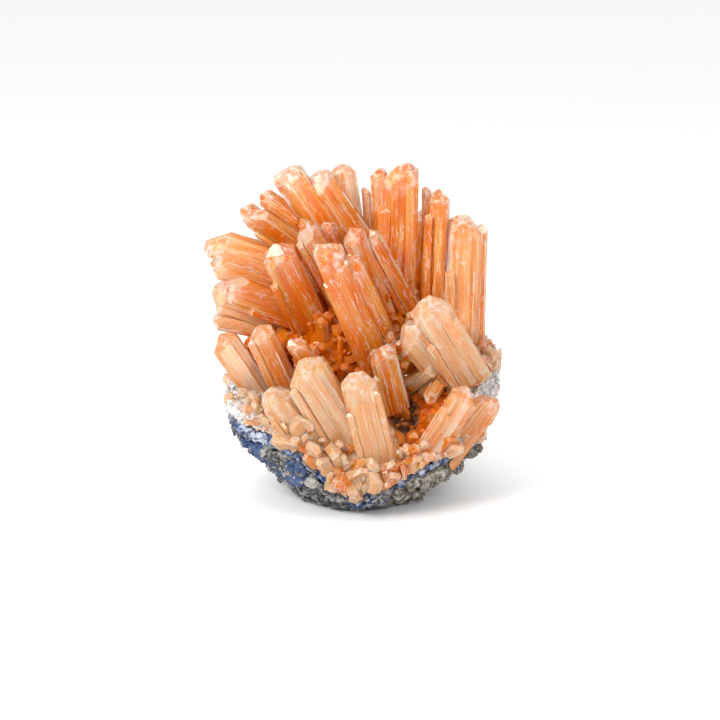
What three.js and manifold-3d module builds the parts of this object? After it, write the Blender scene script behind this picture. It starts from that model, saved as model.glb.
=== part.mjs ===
// A cabinet specimen of orange prismatic crystals on matrix. Long striated prisms with blunt faceted ends
// spread out of an orange intergrown mass. Under it lie a pale drusy crust, a thin blue layer and a grey rock.
// Millimetres. +Z is up and the front faces -Y. The origin is on the flat foot, near its middle.
import * as THREE from "three";
import { mergeVertices } from "three/addons/utils/BufferGeometryUtils.js";
import Module from "manifold-3d";

const wasm = await Module();
wasm.setup();

// Driving dimensions
const GAP = 0.3; // clearance kept between neighbouring crystals
const GROUND_GAP = 0.45; // growth of the uneven pieces under them, whose slopes keep less of it
const SEAM = 0.4; // height kept between the base's layers
const LAYER_GAP = 0.25; // least clearance between them where they fold
const AROUND = 22; // corners of the base's layers around their outline
const BASE_MIDDLE = [0.5, 2]; // middle of the rock and the crust, seen from above
const CORE_RADII = [30, 22, 20]; // the intergrown mass, before its small crystals
const CORE_MIDDLE = [-1, 8, 42];

// Half extents and heights of the base's layers, at every 45 degrees from the right, by way of the back
const FOOT_RADIUS = [18, 19, 20, 19, 16, 18.5, 17, 19.5];
const RIM_RADIUS = [38, 40, 36, 37, 38, 34, 26, 33];
const RIM_HEIGHT = [17, 21, 24, 23, 22, 20, 4, 15];
const BLUE_THICKNESS = [2.2, 2, 2, 2.5, 3.5, 4.5, 1.6, 2.4];
const SHOULDER_RADIUS = [42, 41, 35, 36, 37, 33, 24, 33];
const SHOULDER_HEIGHT = [44, 46, 40, 37, 36, 29, 18, 22];
const CRUST_MIDDLE_HEIGHT = 34;
const ROCK_MIDDLE_HEIGHT = 17;
const RIM_ROUGHNESS = 2.6; // how far the rock's flank and rim stray in and out
const BLUE_BULGE = 1.1; // how far the blue band stands proud of the rim
const CRUST_BULGE = 2.6; // how far the crust's side swells between its rim and its shoulder
const LOWEST_STONY_RIM = 12; // where the rock's rim is lower than this, it carries no stones
const SEAM_SHARES = [0, 0.4, 0.72]; // rings of corners where two layers meet, out towards the rim
const BUMP_SIZE = 4.3; // scale of the bumps on the base's layers
const CUTTER_SIZE = 160; // longer than any crystal
const WIDE_CRYSTAL = 7; // from this width on, a crystal has eight corners and not six

// The view that the front was laid out in: it looks along +Y and down, at this point, from this far away.
const VIEW_TILT = THREE.MathUtils.degToRad(15);
const VIEW_DISTANCE = 600;
const VIEW_TARGET = [1.5, 0, 41.8];

// Colours, as seen in white light
const ORANGE = 0xf0803a;
const PEACH = 0xf5b184;
const PALE_CRUST = 0xe9d8ca;
const BLUE = 0x3c568f;
const ROCK_GREY = 0x77726c;

// A repeatable stream of numbers from 0 to 1.
function stream(seed) {
  let state = seed * 7919 + 13;
  return () => {
    state = (state * 16807) % 2147483647;
    return state / 2147483647;
  };
}

// A smooth uneven field of about -1 to 1 over space.
function uneven(x, y, z, scale, shift) {
  const [a, b, c] = [x / scale + shift, y / scale - shift, z / scale + 2 * shift];
  const coarse = Math.sin(a + 1.7 * Math.sin(b)) * Math.cos(b + 1.3 * Math.sin(c));
  const fine = Math.sin(2.3 * c + 1.1 * Math.sin(1.9 * a)) * Math.cos(2.1 * b + a);
  return 0.65 * coarse + 0.35 * fine;
}

// The value at a bearing, eased between the eight values given around the compass.
function around(values, bearing) {
  const step = (((bearing / (2 * Math.PI)) % 1) + 1) % 1 * values.length;
  const index = Math.floor(step);
  const ease = 0.5 - 0.5 * Math.cos(Math.PI * (step - index));
  return values[index % values.length] * (1 - ease) + values[(index + 1) % values.length] * ease;
}

// A point given as it is seen from the front: across and up from the middle of that view, and its depth.
function seen(across, up, depth) {
  const [tiltSin, tiltCos] = [Math.sin(VIEW_TILT), Math.cos(VIEW_TILT)];
  const flatHeight = (up - depth * tiltSin) / tiltCos;
  const further = 1 + (depth * tiltCos - flatHeight * tiltSin) / VIEW_DISTANCE;
  return [
    VIEW_TARGET[0] + across * further,
    depth,
    VIEW_TARGET[2] + (up * further - depth * tiltSin) / tiltCos,
  ];
}

// Solids and geometries
function solidOf(geometry) {
  geometry.deleteAttribute("normal");
  geometry.deleteAttribute("uv");
  const merged = mergeVertices(geometry, 1e-4);
  const corners = merged.index.array;
  const kept = [];
  for (let i = 0; i < corners.length; i += 3) {
    const [a, b, c] = corners.slice(i, i + 3);
    if (a !== b && b !== c && c !== a) kept.push(a, b, c);
  }
  const vertProperties = new Float32Array(merged.attributes.position.array);
  return new wasm.Manifold(new wasm.Mesh({ numProp: 3, vertProperties, triVerts: new Uint32Array(kept) }));
}

function geometryOf(solid) {
  const mesh = solid.getMesh();
  const geometry = new THREE.BufferGeometry();
  geometry.setAttribute("position", new THREE.BufferAttribute(new Float32Array(mesh.vertProperties), 3));
  geometry.setIndex(new THREE.BufferAttribute(new Uint32Array(mesh.triVerts), 1));
  return geometry;
}

function joined(solids) {
  return solids.reduce((whole, solid) => whole.add(solid));
}

function largestBody(solid) {
  return solid.decompose().sort((a, b) => b.volume() - a.volume())[0];
}

function boxesMeet(a, b) {
  const [p, q] = [a.boundingBox(), b.boundingBox()];
  return [0, 1, 2].every((i) => p.min[i] < q.max[i] && q.min[i] < p.max[i]);
}

// What is left of a solid once its neighbours, grown by the gap, are cut out of it.
function cutBy(solid, grownNeighbours) {
  const near = grownNeighbours.filter((other) => boxesMeet(solid, other));
  return largestBody(near.reduce((left, other) => left.subtract(other), solid));
}

// The ends of the crystals. A facet leans to its bearing about the axis and slopes from square across, both in
// degrees. It passes through the summit, or beyond it by its shift, in widths of the crystal.
const CAPS = {
  pyramid: [
    { bearing: 250, slope: 50, shift: 0 },
    { bearing: 335, slope: 46, shift: 0.02 },
    { bearing: 80, slope: 52, shift: 0 },
    { bearing: 165, slope: 44, shift: 0.03 },
    { bearing: 290, slope: 18, shift: -0.07 },
  ],
  roof: [
    { bearing: 5, slope: 44, shift: 0 },
    { bearing: 182, slope: 36, shift: 0 },
    { bearing: 268, slope: 58, shift: 0.1 },
    { bearing: 92, slope: 54, shift: 0.06 },
  ],
  slant: [
    { bearing: 40, slope: 30, shift: 0 },
    { bearing: 255, slope: 60, shift: 0.14 },
    { bearing: 190, slope: 48, shift: 0.1 },
    { bearing: 120, slope: 52, shift: 0.12 },
  ],
  blunt: [
    { bearing: 280, slope: 13, shift: -0.04 },
    { bearing: 205, slope: 42, shift: 0.08 },
    { bearing: 330, slope: 48, shift: 0.06 },
    { bearing: 100, slope: 44, shift: 0.1 },
    { bearing: 20, slope: 56, shift: 0.16 },
  ],
  level: [
    { bearing: 5, slope: 34, shift: 0.05 },
    { bearing: 262, slope: 62, shift: 0.2 },
    { bearing: 95, slope: 58, shift: 0.16 },
  ],
  plain: [
    { bearing: 250, slope: 42, shift: 0 },
    { bearing: 10, slope: 48, shift: 0 },
    { bearing: 130, slope: 45, shift: 0 },
  ],
};

// A block that fills everything beyond a plane, for cutting an end facet.
function blockBeyond(outward, reach) {
  const block = new THREE.BoxGeometry(CUTTER_SIZE, CUTTER_SIZE, CUTTER_SIZE);
  const turn = new THREE.Quaternion().setFromUnitVectors(new THREE.Vector3(0, 0, 1), outward);
  block.translate(0, 0, CUTTER_SIZE / 2 + reach);
  block.applyQuaternion(turn);
  return solidOf(block);
}

// One prism in its own frame: +Z from root to tip, +X across it, -Y towards the front. Its corners are cut at
// random, and with swell it is grown on every side.
function prism(spec, random, swell) {
  const { width, depth, length, cap, across = 0, through = 0, corners = 8 } = spec;
  const a = width / 2 + swell;
  const b = depth / 2 + swell;
  const cuts = [0, 1, 2, 3].map(() => (0.22 + 0.45 * random()) * Math.min(a, b));
  const skews = [0, 1, 2, 3].map(() => 0.7 + 0.6 * random());
  const lean = 0.3 * (random() - 0.5) * width;
  const wide = [
    [a, b - cuts[0]],
    [a - cuts[0] * skews[0], b],
    [-a + cuts[1] * skews[1], b],
    [-a, b - cuts[1]],
    [-a, -b + cuts[2]],
    [-a + cuts[2] * skews[2], -b],
    [a - cuts[3] * skews[3], -b],
    [a, -b + cuts[3]],
  ];
  const narrow = [
    [a, 0.1 * b],
    [a - cuts[0], b],
    [-a + cuts[1], b],
    [-a, -0.1 * b],
    [-a + cuts[2], -b],
    [a - cuts[3], -b],
  ];
  const outline = corners === 8 ? wide : narrow;
  const shape = new THREE.Shape(outline.map(([x, y]) => new THREE.Vector2(x + across, y + through)));
  const column = new THREE.ExtrudeGeometry(shape, { depth: length + 2 * swell, bevelEnabled: false });
  column.translate(0, 0, -swell);
  const summit = new THREE.Vector3(across + lean, through, length);
  return CAPS[cap].reduce((left, { bearing, slope, shift }) => {
    const turn = THREE.MathUtils.degToRad(bearing);
    const fall = THREE.MathUtils.degToRad(slope);
    const sideways = Math.sin(fall);
    const outward = new THREE.Vector3(sideways * Math.cos(turn), sideways * Math.sin(turn), Math.cos(fall));
    return left.subtract(blockBeyond(outward, outward.dot(summit) + shift * width + swell));
  }, solidOf(column));
}

// The matrix that stands a prism on its root, points it at its tip and rolls it about its axis.
function placing({ root, tip, roll = 0 }) {
  const start = new THREE.Vector3(...root);
  const axis = new THREE.Vector3(...tip).sub(start).normalize();
  const back = Math.abs(axis.y) < 0.85 ? new THREE.Vector3(0, 1, 0) : new THREE.Vector3(0, 0, 1);
  const across = new THREE.Vector3().crossVectors(back, axis).normalize();
  const away = new THREE.Vector3().crossVectors(axis, across);
  const matrix = new THREE.Matrix4().makeBasis(across, away, axis).setPosition(start);
  return matrix.multiply(new THREE.Matrix4().makeRotationZ(THREE.MathUtils.degToRad(roll)));
}

function lengthOf({ root, tip }) {
  return new THREE.Vector3(...tip).distanceTo(new THREE.Vector3(...root));
}

// Narrower prisms that grew along a crystal's faces and stop short of its tip.
function sideGrowth(width, depth, length, count, random) {
  const sides = [
    { x: -0.42, y: -0.34 },
    { x: 0.4, y: -0.3 },
    { x: 0.05, y: -0.45 },
    { x: -0.3, y: 0.42 },
    { x: 0.46, y: 0.2 },
  ];
  return sides.slice(0, count).map(({ x, y }) => {
    const own = (0.34 + 0.22 * random()) * Math.min(width, depth);
    return {
      width: own,
      depth: own * (0.8 + 0.3 * random()),
      length: length * (0.62 + 0.3 * random()),
      across: x * width,
      through: y * depth,
      cap: "plain",
      corners: 6,
    };
  });
}

// A crystal with its side growth, joined in one solid.
function crystal(spec, random, swell) {
  const { width, depth, cap, sides = 2 } = spec;
  const length = lengthOf(spec);
  const corners = width > WIDE_CRYSTAL ? 8 : 6;
  const main = { width, depth, length, cap, corners };
  const members = [main, ...sideGrowth(width, depth, length, sides, random)];
  const whole = joined(members.map((member) => prism(member, random, swell)));
  return solidOf(geometryOf(whole).applyMatrix4(placing(spec)));
}

// Crystals that grew together, joined in one solid. The same seed gives the same corners at any swell.
function bundle(specs, seed, swell) {
  const random = stream(seed);
  return joined(specs.map((spec) => crystal(spec, random, swell)));
}

// The large crystals, front ones first. A later one ends where it meets an earlier one.
const CRYSTALS = {
  crystal_centre: [
    { tip: seen(-11, 36, -24), root: seen(5, -1, -9), width: 8.5, depth: 10, cap: "pyramid", sides: 2 },
    { tip: seen(-4.5, 31, -22), root: seen(9.5, 2, -7), width: 8, depth: 9, cap: "roof", sides: 1 },
  ],
  crystal_front_pale: [
    { tip: seen(-1, -4, -31), root: seen(5.5, -30, -22), width: 10.5, depth: 8, cap: "blunt", sides: 2 },
  ],
  crystal_front_left: [
    { tip: seen(-18.5, 0.5, -27), root: seen(-1, -28, -18), width: 12.5, depth: 10, cap: "pyramid", sides: 1 },
    { tip: seen(-27, -9, -24), root: seen(-9, -32, -18), width: 10, depth: 9, cap: "blunt", sides: 1 },
  ],
  crystal_front_right: [
    { tip: seen(33.5, -8, -24), root: seen(18, -32, -20), width: 8.5, depth: 8, cap: "roof", sides: 1 },
    { tip: seen(40, -11, -17), root: seen(25, -30, -15), width: 8, depth: 7, cap: "blunt", sides: 1 },
  ],
  crystal_right_stub: [
    { tip: seen(19.5, 17.5, -21), root: seen(33, -5, -9), width: 12, depth: 9, cap: "blunt", sides: 2 },
    { tip: seen(13.5, 10.5, -19), root: seen(25, -4, -9), width: 10, depth: 8, cap: "slant", sides: 0 },
  ],
  crystal_upper_middle: [
    { tip: seen(-3, 40, -7), root: seen(9, 9, -1), width: 7.5, depth: 8, cap: "slant", sides: 1 },
    { tip: seen(2.5, 39, -5), root: seen(17, 12, 1), width: 6, depth: 7, cap: "roof", sides: 1 },
  ],
  crystal_left_middle: [
    { tip: seen(-26, 35, -16), root: seen(-13, 8, -1), width: 10.5, depth: 8.5, cap: "pyramid", sides: 1 },
  ],
  crystal_left_inner: [
    { tip: seen(-17.5, 41, -9), root: seen(-3, 16, 1), width: 8, depth: 8, cap: "pyramid", sides: 1 },
    { tip: seen(-11, 41, -4), root: seen(0, 16, 4), width: 6, depth: 6, cap: "slant", sides: 0 },
  ],
  crystal_left_large: [
    { tip: seen(-46, 35.5, -5), root: seen(-12, 25, 2), width: 9, depth: 9, cap: "blunt", sides: 1 },
    { tip: seen(-45.2, 29, -6), root: seen(-14, 19, 1), width: 7.5, depth: 8, cap: "roof", sides: 0 },
  ],
  crystal_left_lower: [
    { tip: seen(-40.5, 22.5, -10), root: seen(-16, 14, -1), width: 9, depth: 8, cap: "blunt", sides: 1 },
  ],
  crystal_left_clear: [
    { tip: seen(-45, 21, 0), root: seen(-24, 14, 4), width: 8.5, depth: 8, cap: "pyramid", sides: 1 },
  ],
  crystal_top_double: [
    { tip: seen(12.5, 60, 8), root: seen(11, 6, 6), width: 11.5, depth: 10, cap: "pyramid", sides: 1 },
    { tip: seen(5.5, 58, 9), root: seen(7.5, 8, 7), width: 5.5, depth: 6, cap: "pyramid", sides: 0 },
  ],
  crystal_right_tall: [
    { tip: seen(32, 43.5, 5), root: seen(30.5, -2, 3), width: 10, depth: 9, cap: "blunt", sides: 1 },
    { tip: seen(36.3, 41, 6.5), root: seen(35, -2, 5), width: 4.8, depth: 6, cap: "plain", sides: 0 },
  ],
  crystal_right_inner: [
    { tip: seen(24, 51.5, 8), root: seen(22, 4, 5), width: 6.8, depth: 8, cap: "roof", sides: 1 },
    { tip: seen(20, 52.2, 11), root: seen(19, 8, 7), width: 3.4, depth: 5, cap: "plain", sides: 0 },
  ],
  crystal_top_middle: [
    { tip: seen(-5.5, 58.7, 11), root: seen(2, 8, 8), width: 8, depth: 8, cap: "blunt", sides: 1 },
    { tip: seen(1.8, 52, 12), root: seen(5, 10, 9), width: 3.4, depth: 5, cap: "plain", sides: 0 },
  ],
  crystal_top_left: [
    { tip: seen(-22.6, 57, 3), root: seen(-1, 26, 5), width: 9.5, depth: 9, cap: "level", sides: 1 },
    { tip: seen(-13.2, 56, 4), root: seen(6, 28, 6), width: 8, depth: 9, cap: "level", sides: 0 },
  ],
  crystal_far_left_pair: [
    { tip: seen(-33.5, 44.5, -3), root: seen(-14, 31, 3), width: 7.5, depth: 8, cap: "blunt", sides: 1 },
    { tip: seen(-30, 50, 2), root: seen(-12, 37, 6), width: 6, depth: 7, cap: "pyramid", sides: 0 },
  ],
  crystal_left_tip: [
    { tip: seen(-35.5, 46.5, 1), root: seen(-18, 33, 7), width: 5.5, depth: 6, cap: "pyramid", sides: 0 },
  ],
  crystal_low_left: [
    { tip: seen(-31, 10.5, -17), root: seen(-20, -12, -9), width: 8, depth: 7, cap: "pyramid", sides: 1 },
  ],
  crystal_low_far_left: [
    { tip: seen(-42.5, 8, -7), root: seen(-28, -13, -4), width: 8.5, depth: 7.5, cap: "pyramid", sides: 0 },
  ],
  crystal_low_middle: [
    { tip: seen(-20.5, 6.5, -22), root: seen(-10, -8, -14), width: 6, depth: 6, cap: "pyramid", sides: 0 },
    { tip: seen(-8.5, 11.5, -19), root: seen(-4, -6, -13), width: 4.8, depth: 5, cap: "plain", sides: 1 },
  ],
  crystal_side_left: [
    { tip: seen(-44, 12.5, 0), root: seen(-22, 8, 3), width: 7, depth: 8, cap: "blunt", sides: 0 },
  ],
  crystal_right_foot: [
    { tip: seen(38.5, -1, -12), root: seen(24, -7, -3), width: 9, depth: 8, cap: "blunt", sides: 0 },
    { tip: seen(31, 0.5, -17), root: seen(20, -9, -7), width: 7, depth: 7, cap: "pyramid", sides: 0 },
  ],
  crystal_cavity_wall: [
    { tip: seen(6.5, 3.5, -22), root: seen(11, -14, -12), width: 8, depth: 7, cap: "blunt", sides: 1 },
  ],
  crystal_cavity_deep: [
    { tip: seen(20, -13, -19), root: seen(27, -1, -7), width: 5, depth: 5, cap: "pyramid", sides: 0 },
  ],
  crystal_back_middle: [
    { tip: [-5, 39, 76], root: [0, 12, 36], width: 11, depth: 10, cap: "blunt", sides: 0 },
    { tip: [1.5, 37, 80], root: [4, 12, 36], width: 6.5, depth: 7, cap: "pyramid", sides: 0 },
  ],
  crystal_back_left: [
    { tip: [-24, 33, 70], root: [-6, 11, 34], width: 11, depth: 9, cap: "pyramid", sides: 0 },
  ],
  crystal_back_right: [
    { tip: [18, 37, 70], root: [6, 12, 36], width: 11, depth: 9, cap: "roof", sides: 0 },
  ],
  crystal_back_far_right: [
    { tip: [34, 27, 62], root: [12, 10, 34], width: 10, depth: 9, cap: "blunt", sides: 0 },
  ],
  crystal_back_far_left: [
    { tip: [-38, 24, 54], root: [-10, 10, 34], width: 10.5, depth: 9, cap: "roof", sides: 0 },
  ],
  crystal_back_low: [
    { tip: [4, 45, 55], root: [2, 14, 36], width: 10, depth: 9, cap: "pyramid", sides: 0 },
  ],
  crystal_back_low_left: [
    { tip: [-19, 41, 51], root: [-5, 14, 36], width: 9, depth: 8, cap: "blunt", sides: 0 },
  ],
  crystal_back_low_right: [
    { tip: [25, 40, 50], root: [8, 14, 36], width: 9, depth: 8, cap: "pyramid", sides: 0 },
  ],
  crystal_behind_top: [
    { tip: [-11, 23, 91], root: [-2, 12, 40], width: 9, depth: 8, cap: "pyramid", sides: 0 },
  ],
  crystal_behind_right: [
    { tip: [23, 25, 83], root: [10, 12, 38], width: 9.5, depth: 8, cap: "roof", sides: 0 },
  ],
  crystal_behind_left: [
    { tip: [-31, 16, 76], root: [-6, 9, 38], width: 9, depth: 8, cap: "pyramid", sides: 0 },
  ],
};

// A round body turned from a profile and then moved point by point to where it belongs.
function shapedLathe(profile, move) {
  const points = profile.map(([radius, height]) => new THREE.Vector2(radius, height));
  const geometry = new THREE.LatheGeometry(points, AROUND);
  const position = geometry.attributes.position;
  const rows = points.length;
  for (let i = 0; i < position.count; i += 1) {
    const column = Math.floor(i / rows) % AROUND;
    const { x: radius, y: level } = points[i % rows];
    position.setXYZ(i, ...move(radius, (2 * Math.PI * column) / AROUND - Math.PI / 2, level));
  }
  return solidOf(geometry);
}

// Where a point of a layer lies, from its bearing and its radius and height there. Its bumps stay where they
// are when the layer is grown outwards and up.
function onBase(bearing, radius, height, { roughness, shift, outwards = 0, up = 0 }) {
  const [x, y] = [Math.cos(bearing), Math.sin(bearing)];
  const fade = radius / Math.max(radius, 12);
  const bump = roughness * uneven(x * radius, y * radius, height, BUMP_SIZE, shift) * fade;
  const reach = radius + bump + outwards;
  return [BASE_MIDDLE[0] + x * reach, BASE_MIDDLE[1] + y * reach, height + up];
}

// The height of the rock's top and of the blue layer's top, at a share of the way from the middle to the rim.
function rockTop(bearing, share) {
  const fall = share ** 3;
  const swell = 4 * share * (1 - share) * Math.sin(5 * share + 2 * bearing);
  return ROCK_MIDDLE_HEIGHT * (1 - fall) + around(RIM_HEIGHT, bearing) * fall + swell;
}

function blueTop(bearing, share) {
  return rockTop(bearing, share) + 1 + (around(BLUE_THICKNESS, bearing) - 1) * share;
}

// The reach of the rock's flank at a share of the way out from its foot to its rim.
function flankReach(bearing, out) {
  return around(FOOT_RADIUS, bearing) * (1 - out) + around(RIM_RADIUS, bearing) * out;
}

// Corner points of the rock's flank: how far out from the foot to the rim, and how high, in shares.
const FLANK = [
  [0, 0],
  [0.12, 0.05],
  [0.2, 0.2],
  [0.42, 0.3],
  [0.5, 0.46],
  [0.72, 0.55],
  [0.82, 0.74],
  [0.97, 0.84],
  [1, 1],
];

// Lumps to be fused to a layer, spread around it where it has a place for them.
function lumps({ count, seed, place, sizes }) {
  const random = stream(seed);
  const made = Array.from({ length: count }, (_, i) => {
    const bearing = ((i + 0.8 * random()) / count) * 2 * Math.PI;
    const size = sizes[0] + (sizes[1] - sizes[0]) * random();
    const stone = new THREE.IcosahedronGeometry(size);
    stone.scale(0.8 + 0.5 * random(), 0.8 + 0.5 * random(), 0.7 + 0.4 * random());
    stone.rotateX(6 * random());
    stone.rotateZ(6 * random());
    const spot = place(bearing, random());
    return spot && solidOf(stone.translate(...spot));
  });
  return made.filter(Boolean);
}

// A point where two layers of the base meet. The layers share its place seen from above, so they stack cleanly.
function onSeam(bearing, share, height, swell) {
  const bumps = share === 1 ? { roughness: RIM_ROUGHNESS, shift: 5 } : { roughness: 1.2, shift: 3 };
  const grown = { ...bumps, outwards: swell * share };
  const [x, y] = onBase(bearing, around(RIM_RADIUS, bearing) * share, rockTop(bearing, share), grown);
  return [x, y, height + swell];
}

// The rock: a ragged flank with ledges that widens upwards from a flat foot, with stones fused to it.
function matrixRock(swell) {
  const flank = FLANK.map(([out, up]) => [1 + out, up]);
  const top = SEAM_SHARES.map((share) => [share, 2]).reverse();
  const body = shapedLathe([[0, 0], ...flank, ...top], (radius, bearing, level) => {
    if (radius === 0 && level === 0) return [...BASE_MIDDLE, -swell];
    if (level === 2) return onSeam(bearing, radius, rockTop(bearing, radius), swell);
    if (level === 1) return onSeam(bearing, 1, rockTop(bearing, 1), swell);
    const ledge = level > 0 ? 0.6 * uneven(20 * bearing, 7 * level, 0, 5, 1) : 0;
    const height = rockTop(bearing, 1) * level + ledge;
    const bumps = { roughness: RIM_ROUGHNESS, shift: 5 };
    return onBase(bearing, flankReach(bearing, radius - 1), height, { ...bumps, outwards: swell, up: -swell });
  });
  const stones = lumps({
    count: 16,
    seed: 11,
    place: (bearing, share) => {
      const rim = rockTop(bearing, 1);
      if (rim < LOWEST_STONY_RIM) return null;
      const out = 0.25 + 0.5 * share;
      return onBase(bearing, flankReach(bearing, out) - 1.2, rim * out, { roughness: 1, shift: 2 });
    },
    sizes: [2.4, 4],
  });
  return joined([body, ...stones]);
}

// The blue layer: a thin cap over the rock that shows as a band around the rim.
function blueLayer(swell) {
  const under = SEAM_SHARES.map((share) => [share, 0]);
  const edge = [0, 0.5, 1].map((level) => [1, level]);
  const over = SEAM_SHARES.map((share) => [share, 1]).reverse();
  return shapedLathe([...under, ...edge, ...over], (share, bearing, level) => {
    const low = rockTop(bearing, share) + SEAM - 2 * swell;
    const high = blueTop(bearing, share);
    const [x, y, height] = onSeam(bearing, share, low + (high - low) * level, swell);
    const bulge = level === 0.5 ? BLUE_BULGE : 0;
    return [x + bulge * Math.cos(bearing), y + bulge * Math.sin(bearing), height];
  });
}

// The crust: a thick uneven bowl over the blue layer. Its side rises to a shoulder and its top falls inwards.
function crustBody(swell) {
  const under = SEAM_SHARES.map((share) => [share, 0]);
  const side = [0, 0.3, 0.65].map((share) => [1, 1 + share]);
  const over = [1, 0.8, 0.6, 0].map((share) => [share, 2]);
  return shapedLathe([...under, ...side, ...over], (share, bearing, level) => {
    const shoulder = around(SHOULDER_RADIUS, bearing);
    const shoulderHeight = around(SHOULDER_HEIGHT, bearing);
    if (level === 0) return onSeam(bearing, share, blueTop(bearing, share) + SEAM - 2 * swell, swell);
    if (level === 2) {
      const height = CRUST_MIDDLE_HEIGHT + (shoulderHeight - CRUST_MIDDLE_HEIGHT) * share ** 1.5;
      const grown = { outwards: swell * share, up: swell };
      return onBase(bearing, shoulder * share, height, { roughness: 2.2, shift: 4, ...grown });
    }
    const up = level - 1;
    const start = blueTop(bearing, 1) + SEAM;
    if (up === 0) return onSeam(bearing, 1, start - 2 * swell, swell);
    const reach = around(RIM_RADIUS, bearing) * (1 - up) + shoulder * up + CRUST_BULGE * Math.sin(Math.PI * up);
    const height = start + (shoulderHeight - start) * up;
    return onBase(bearing, reach, height, { roughness: 3, shift: 4, outwards: swell });
  });
}

// The intergrown mass without its small crystals.
function core(swell) {
  const geometry = new THREE.SphereGeometry(1, 11, 7);
  geometry.rotateX(Math.PI / 2);
  const position = geometry.attributes.position;
  for (let i = 0; i < position.count; i += 1) {
    const unit = [position.getX(i), position.getY(i), position.getZ(i)];
    const bump = 1 + 0.07 * uneven(...unit.map((value) => value * 10), 4, 9);
    position.setXYZ(i, ...unit.map((value, j) => CORE_MIDDLE[j] + value * (CORE_RADII[j] * bump + swell)));
  }
  return solidOf(geometry);
}

// Small crystals that stand on a surface in all directions from a point inside it.
function smallCrystals({ count, seed, middle, radii, lowest, highest, width, rise }) {
  const random = stream(seed);
  const goldenTurn = Math.PI * (3 - Math.sqrt(5));
  return Array.from({ length: count }, (_, i) => {
    const level = lowest + ((highest - lowest) * (i + 0.5)) / count;
    const ring = Math.sqrt(1 - level * level);
    const bearing = goldenTurn * i + 0.4 * (random() - 0.5);
    const way = [Math.cos(bearing) * ring, Math.sin(bearing) * ring, level];
    const onSurface = new THREE.Vector3(...way.map((value, j) => middle[j] + value * radii[j]));
    const outward = new THREE.Vector3(...way.map((value, j) => value / radii[j])).normalize();
    outward.x += 0.5 * (random() - 0.5);
    outward.z += 0.35;
    outward.normalize();
    const spec = {
      root: onSurface.clone().addScaledVector(outward, -4).toArray(),
      tip: onSurface.clone().addScaledVector(outward, rise[0] + (rise[1] - rise[0]) * random()).toArray(),
      roll: 360 * random(),
    };
    const across = width[0] + (width[1] - width[0]) * random();
    const body = { width: across, depth: across * 0.85, length: lengthOf(spec), cap: "plain", corners: 6 };
    return solidOf(geometryOf(prism(body, random, 0)).applyMatrix4(placing(spec)));
  });
}

// Every piece, each cut clear of those before it
const pieces = { matrix_rock: matrixRock(0) };
pieces.blue_layer = cutBy(blueLayer(0), [matrixRock(LAYER_GAP)]);

const grownCore = core(GROUND_GAP);
const grownCrust = crustBody(GROUND_GAP);
const grownGround = [grownCore, grownCrust, matrixRock(GROUND_GAP), blueLayer(GROUND_GAP)];
const grownCrystals = [];
Object.entries(CRYSTALS).forEach(([name, specs], i) => {
  pieces[name] = cutBy(bundle(specs, i + 1, 0), [...grownGround, ...grownCrystals]);
  grownCrystals.push(bundle(specs, i + 1, GAP));
});

const bedCrystals = smallCrystals({
  count: 18,
  seed: 5,
  middle: CORE_MIDDLE,
  radii: CORE_RADII,
  lowest: -0.1,
  highest: 0.9,
  width: [3, 5.2],
  rise: [2.5, 6],
});
const freeBedCrystals = bedCrystals.map((small) => cutBy(small, [grownCrust, ...grownCrystals]));
pieces.crystal_bed = largestBody(joined([core(0), ...freeBedCrystals.filter(Boolean)]));

const crustCrystals = smallCrystals({
  count: 10,
  seed: 8,
  middle: [BASE_MIDDLE[0], BASE_MIDDLE[1], 24],
  radii: [40, 32, 22],
  lowest: 0.02,
  highest: 0.7,
  width: [2.4, 4],
  rise: [0.5, 2.5],
});
const crustLumps = lumps({
  count: 14,
  seed: 21,
  place: (bearing, share) => {
    const rim = around(RIM_RADIUS, bearing);
    const shoulder = around(SHOULDER_RADIUS, bearing);
    const start = blueTop(bearing, 1) + 3.5;
    const height = start + (around(SHOULDER_HEIGHT, bearing) - start) * share;
    return onBase(bearing, rim + (shoulder - rim) * share, height, { roughness: 2, shift: 4 });
  },
  sizes: [2.4, 4],
});
const grownBlue = blueLayer(LAYER_GAP);
const crustGrowth = [...crustCrystals, ...crustLumps].map((small) =>
  cutBy(small, [grownBlue, grownCore, ...grownCrystals]),
);
const bareCrust = cutBy(crustBody(0), [grownCore, grownBlue]);
pieces.druse_crust = largestBody(joined([bareCrust, ...crustGrowth.filter(Boolean)]));

// Materials and the finished group
const LOOKS = {
  matrix_rock: { color: ROCK_GREY, roughness: 0.95 },
  blue_layer: { color: BLUE, roughness: 0.6 },
  druse_crust: { color: PALE_CRUST, roughness: 0.45 },
  crystal_bed: { color: ORANGE, roughness: 0.3 },
};
const PALE_CRYSTALS = ["crystal_front_pale", "crystal_front_left", "crystal_right_stub", "crystal_left_clear"];

const specimen = new THREE.Group();
Object.entries(pieces).forEach(([name, solid]) => {
  const crystalLook = { color: PALE_CRYSTALS.includes(name) ? PEACH : ORANGE, roughness: 0.2 };
  const material = new THREE.MeshStandardMaterial({ metalness: 0, ...(LOOKS[name] ?? crystalLook) });
  const mesh = new THREE.Mesh(geometryOf(solid), material);
  mesh.name = name;
  specimen.add(mesh);
});

export default specimen;
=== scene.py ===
"""Looks of an orange prismatic crystal cluster on matrix, around its CAD frame.

Shapes are worked out in millimetres and stored in metres. +Z is up and the front faces -Y.
"""

import math

import bmesh
import bpy
import numpy as np
from mathutils import Matrix, Vector, noise
from mathutils.bvhtree import BVHTree


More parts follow.
